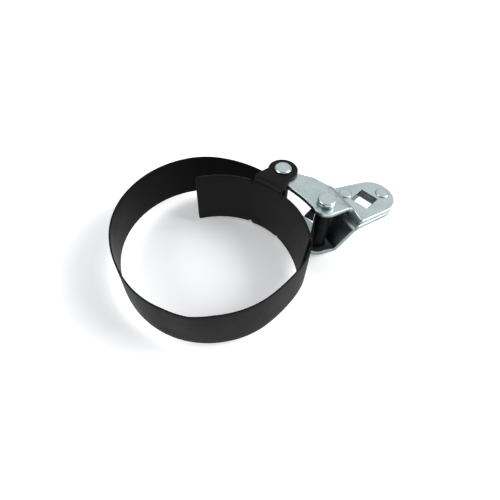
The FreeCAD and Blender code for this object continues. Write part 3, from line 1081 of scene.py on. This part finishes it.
def head_section(radius, bottom, top, chamfer, under=0.3):
    """Section of a round head, from under its rim up to its flat top; its foot has painted shade."""
    return [
        (radius - under, bottom, 1),
        (radius - 0.05, bottom + 0.08, 1),
        (radius, bottom + under, 0.9),
        (radius, (bottom + top) / 2, 0.45),
        (radius, top - chamfer * 1.1, 0),
        (radius - 0.12, top - chamfer * 0.75, 0),
        (radius - chamfer * 0.75, top - 0.12, 0),
        (radius - chamfer * 1.1, top, 0),
        (radius - chamfer * 1.1 - 0.4, top, 0),
    ]


def turned_over(section):
    """The same section for the bottom end."""
    return [(r, -z, rim) for r, z, rim in section[::-1]]


class FW_OT_pins(bpy.types.Operator):
    """Build the two pins and the two drive-head rivets"""

    bl_idname = "fw.pins"
    bl_label = "Pins and rivets"

    def execute(self, context):
        def pin_head(seat, height, chamfer):
            """Section of a pin's head from the plane that it sits on."""
            return head_section(PIN_HEAD_RADIUS, seat, seat + height, chamfer)

        anchor = turned_over(pin_head(PLATE_OUTER, PIN_TAIL_HEIGHT, 0.4))
        anchor += [(PIN_RADIUS, -PLATE_OUTER, 0), (PIN_RADIUS, PLATE_OUTER, 0)]
        anchor += pin_head(PLATE_OUTER, ANCHOR_HEAD_HEIGHT, 0.55)
        seat = EAR_OUTER + END_PLAY
        steps = ((WAIST_RADIUS, PLATE_INNER), (PIN_RADIUS, PLATE_INNER), (PIN_RADIUS, seat))
        upper = [(*step, 0) for step in steps]
        nose = turned_over(pin_head(seat, PIN_TAIL_HEIGHT, 0.4)) + turned_over(upper) + upper
        nose += pin_head(seat, NOSE_HEAD_HEIGHT, 1.1)
        pieces = [
            (turned_piece("pin_anchor", ANCHOR_PIN, anchor), "anchor_pin"),
            (turned_piece("pin_nose", NOSE_PIN, nose), "nose_pin"),
        ]
        axes = lever_axes()
        bottom = HEAD_TOP - 2 * context.scene.fw_lever.thickness / MM
        for node, place in RIVETS.items():
            head = head_section(*RIVET_HEAD)
            section = [(r, bottom - z, rim) for r, z, rim in head[::-1]]
            section += [(RIVET_RADIUS, bottom, 0), (RIVET_RADIUS, HEAD_TOP, 0)]
            section += [(r, HEAD_TOP + z, rim) for r, z, rim in head]
            centre = ANCHOR_PIN + np.array(place) @ axes
            pieces.append((turned_piece(node.replace("drive_", ""), centre, section, 72), node))
        for piece, node in pieces:
            finish_piece(piece, "Fastener zinc", [node])
            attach(piece, "lever")
        return {"FINISHED"}


WASHER_RADIUS = 6.4
WASHER_THICKNESS = 1.1
WASHER_EDGE = 0.25
TAB_REACH = 15.6
TAB_CORNER = 0.5
TAB_HEADING = math.radians(234)


class FW_OT_washers(bpy.types.Operator):
    """Build the tab washer and the plain washer beside the anchor loop"""

    bl_idname = "fw.washers"
    bl_label = "Washers"

    def execute(self, context):
        tabbed = [(*p, 0) for p in arc((0, 0), WASHER_RADIUS, -40, 270, 0.6)]
        tabbed += [(TAB_REACH, y, TAB_CORNER) for y in (-WASHER_RADIUS, TAB_CORNER)]
        plain = [(*p, 0) for p in arc((0, 0), WASHER_RADIUS, 0, 350, 0.6)]
        turn = turned_axes(TAB_HEADING)
        for name, node, side, corners in (
            ("washer_upper", "anchor_washer_upper", 1, tabbed),
            ("washer_lower", "anchor_washer_lower", -1, plain),
        ):
            level = side * (PLATE_INNER + BAND_HALF_WIDTH) / 2

            def shape(flat, level=level):
                return np.concatenate([ANCHOR_PIN + flat[:, :2] @ turn, flat[:, 2:] + level], -1)

            bore = circle((0, 0), EAR_BORE)
            work = flat_sheet(rounded(corners), [bore], WASHER_THICKNESS, WASHER_EDGE)
            piece = bent_piece(name, work, shape)
            finish_piece(piece, "Washer black", [node])
            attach(piece, "band_anchor")
        return {"FINISHED"}


# ---------- stage

FLOOR_HALF_SIZE = 3.0
FLOOR_GAP = 0.0005
WORLD_COLOUR = (0.92, 0.96, 1, 1)
WORLD_STRENGTH = 0.32
FLOOR_GLOW = 0.2
CAMERA_AIM = (0.02527, 0.00537, -0.017)
# Each light: its name, its place, the point that it faces, its size, its power
LIGHTS = (
    ("back", (0.15, 0.8, 0.95), (0.03, 0, 0), 1.4, 3.2),
    ("right", (1.1, 0.0, 0.85), (0.03, 0, 0), 0.8, 18.0),
    ("left", (-1.0, -0.35, 0.7), (0, 0, 0), 0.8, 8.0),
)


def axes_matrix(right, up, back, place):
    """Matrix that puts an object at a place with its own axes along three directions."""
    return Matrix([[right[k], up[k], back[k], place[k]] for k in range(3)] + [[0, 0, 0, 1]])


def add_light(name, place, aim, size, power):
    """Soft square light that faces a point."""
    data = bpy.data.lights.new(name, "AREA")
    data.size = size
    data.energy = power
    light = bpy.data.objects.new(name, data)
    bpy.context.scene.collection.objects.link(light)
    to_aim = np.array(aim) - np.array(place)
    back = -to_aim / np.linalg.norm(to_aim)
    right = np.cross((0, 0, 1.0), back)
    right /= np.linalg.norm(right)
    light.matrix_world = axes_matrix(right, np.cross(back, right), back, place)


class FW_OT_stage(bpy.types.Operator):
    """Build the floor, the lights and the camera"""

    bl_idname = "fw.stage"
    bl_label = "Stage"

    def execute(self, context):
        scene = context.scene
        settings = scene.fw_stage
        level = CAD_BOX[0][2] - FLOOR_GAP
        corners = np.array([(-1, -1), (1, -1), (1, 1), (-1, 1)]) * FLOOR_HALF_SIZE
        mesh = bpy.data.meshes.new("floor")
        mesh.from_pydata([(x, y, level) for x, y in corners], [], [(0, 1, 2, 3)])
        floor = bpy.data.objects.new("floor", mesh)
        scene.collection.objects.link(floor)
        shader = start_material("Floor")[1]
        set_inputs(shader, Base_Color=(*settings.floor_colour, 1), Roughness=0.9)
        set_inputs(shader, Emission_Color=(1, 1, 1, 1), Emission_Strength=FLOOR_GLOW)
        mesh.materials.append(bpy.data.materials["Floor"])

        world = scene.world or bpy.data.worlds.new("World")
        scene.world = world
        world.use_nodes = True
        backdrop = world.node_tree.nodes["Background"]
        set_inputs(backdrop, Color=WORLD_COLOUR, Strength=WORLD_STRENGTH)
        for light in LIGHTS:
            add_light(*light)
        scene.view_settings.view_transform = "Standard"

        camera = bpy.data.objects.new("camera", bpy.data.cameras.new("camera"))
        camera.data.lens = settings.lens
        camera.data.sensor_width = 36
        camera.data.clip_start = 0.01
        scene.collection.objects.link(camera)
        rise, roll = settings.elevation, settings.roll
        view = np.array([0, math.cos(rise), -math.sin(rise)])
        level_up = np.array([0, math.sin(rise), math.cos(rise)])
        right = math.cos(roll) * np.array([1.0, 0, 0]) + math.sin(roll) * level_up
        up = -math.sin(roll) * np.array([1.0, 0, 0]) + math.cos(roll) * level_up
        place = np.array(CAMERA_AIM) - view * settings.distance
        camera.matrix_world = axes_matrix(right, up, -view, place)
        scene.camera = camera
        return {"FINISHED"}


# ---------- add-on


class FW_PT_panel(bpy.types.Panel):
    """Settings and build steps of the filter wrench"""

    bl_idname = "FW_PT_panel"
    bl_label = "Filter Wrench"
    bl_space_type = "VIEW_3D"
    bl_region_type = "UI"
    bl_category = "Filter Wrench"

    def draw(self, context):
        for holder in SETTINGS:
            group = getattr(context.scene, holder)
            box = self.layout.box()
            for key in group.__annotations__:
                box.prop(group, key)
        for step in STEPS:
            self.layout.operator(step.bl_idname)


SETTINGS = {
    "fw_band": FW_BandSettings,
    "fw_shoe": FW_ShoeSettings,
    "fw_lever": FW_LeverSettings,
    "fw_finish": FW_FinishSettings,
    "fw_stage": FW_StageSettings,
}
STEPS = (FW_OT_finishes, FW_OT_band, FW_OT_shoe, FW_OT_lever, FW_OT_pins)
STEPS += (FW_OT_washers, FW_OT_stage)


def register():
    """Registers the classes, and puts the settings on the scene."""
    for cls in (*SETTINGS.values(), *STEPS, FW_PT_panel):
        bpy.utils.register_class(cls)
    for holder, cls in SETTINGS.items():
        setattr(bpy.types.Scene, holder, PointerProperty(type=cls))


def unregister():
    """Takes the settings and the classes away again."""
    for holder in SETTINGS:
        delattr(bpy.types.Scene, holder)
    for cls in (FW_PT_panel, *STEPS[::-1], *list(SETTINGS.values())[::-1]):
        bpy.utils.unregister_class(cls)


def main():
    """Builds everything in order."""
    register()
    for step in STEPS:
        group, name = step.bl_idname.split(".")
        getattr(getattr(bpy.ops, group), name)()


if __name__ == "__main__":
    main()
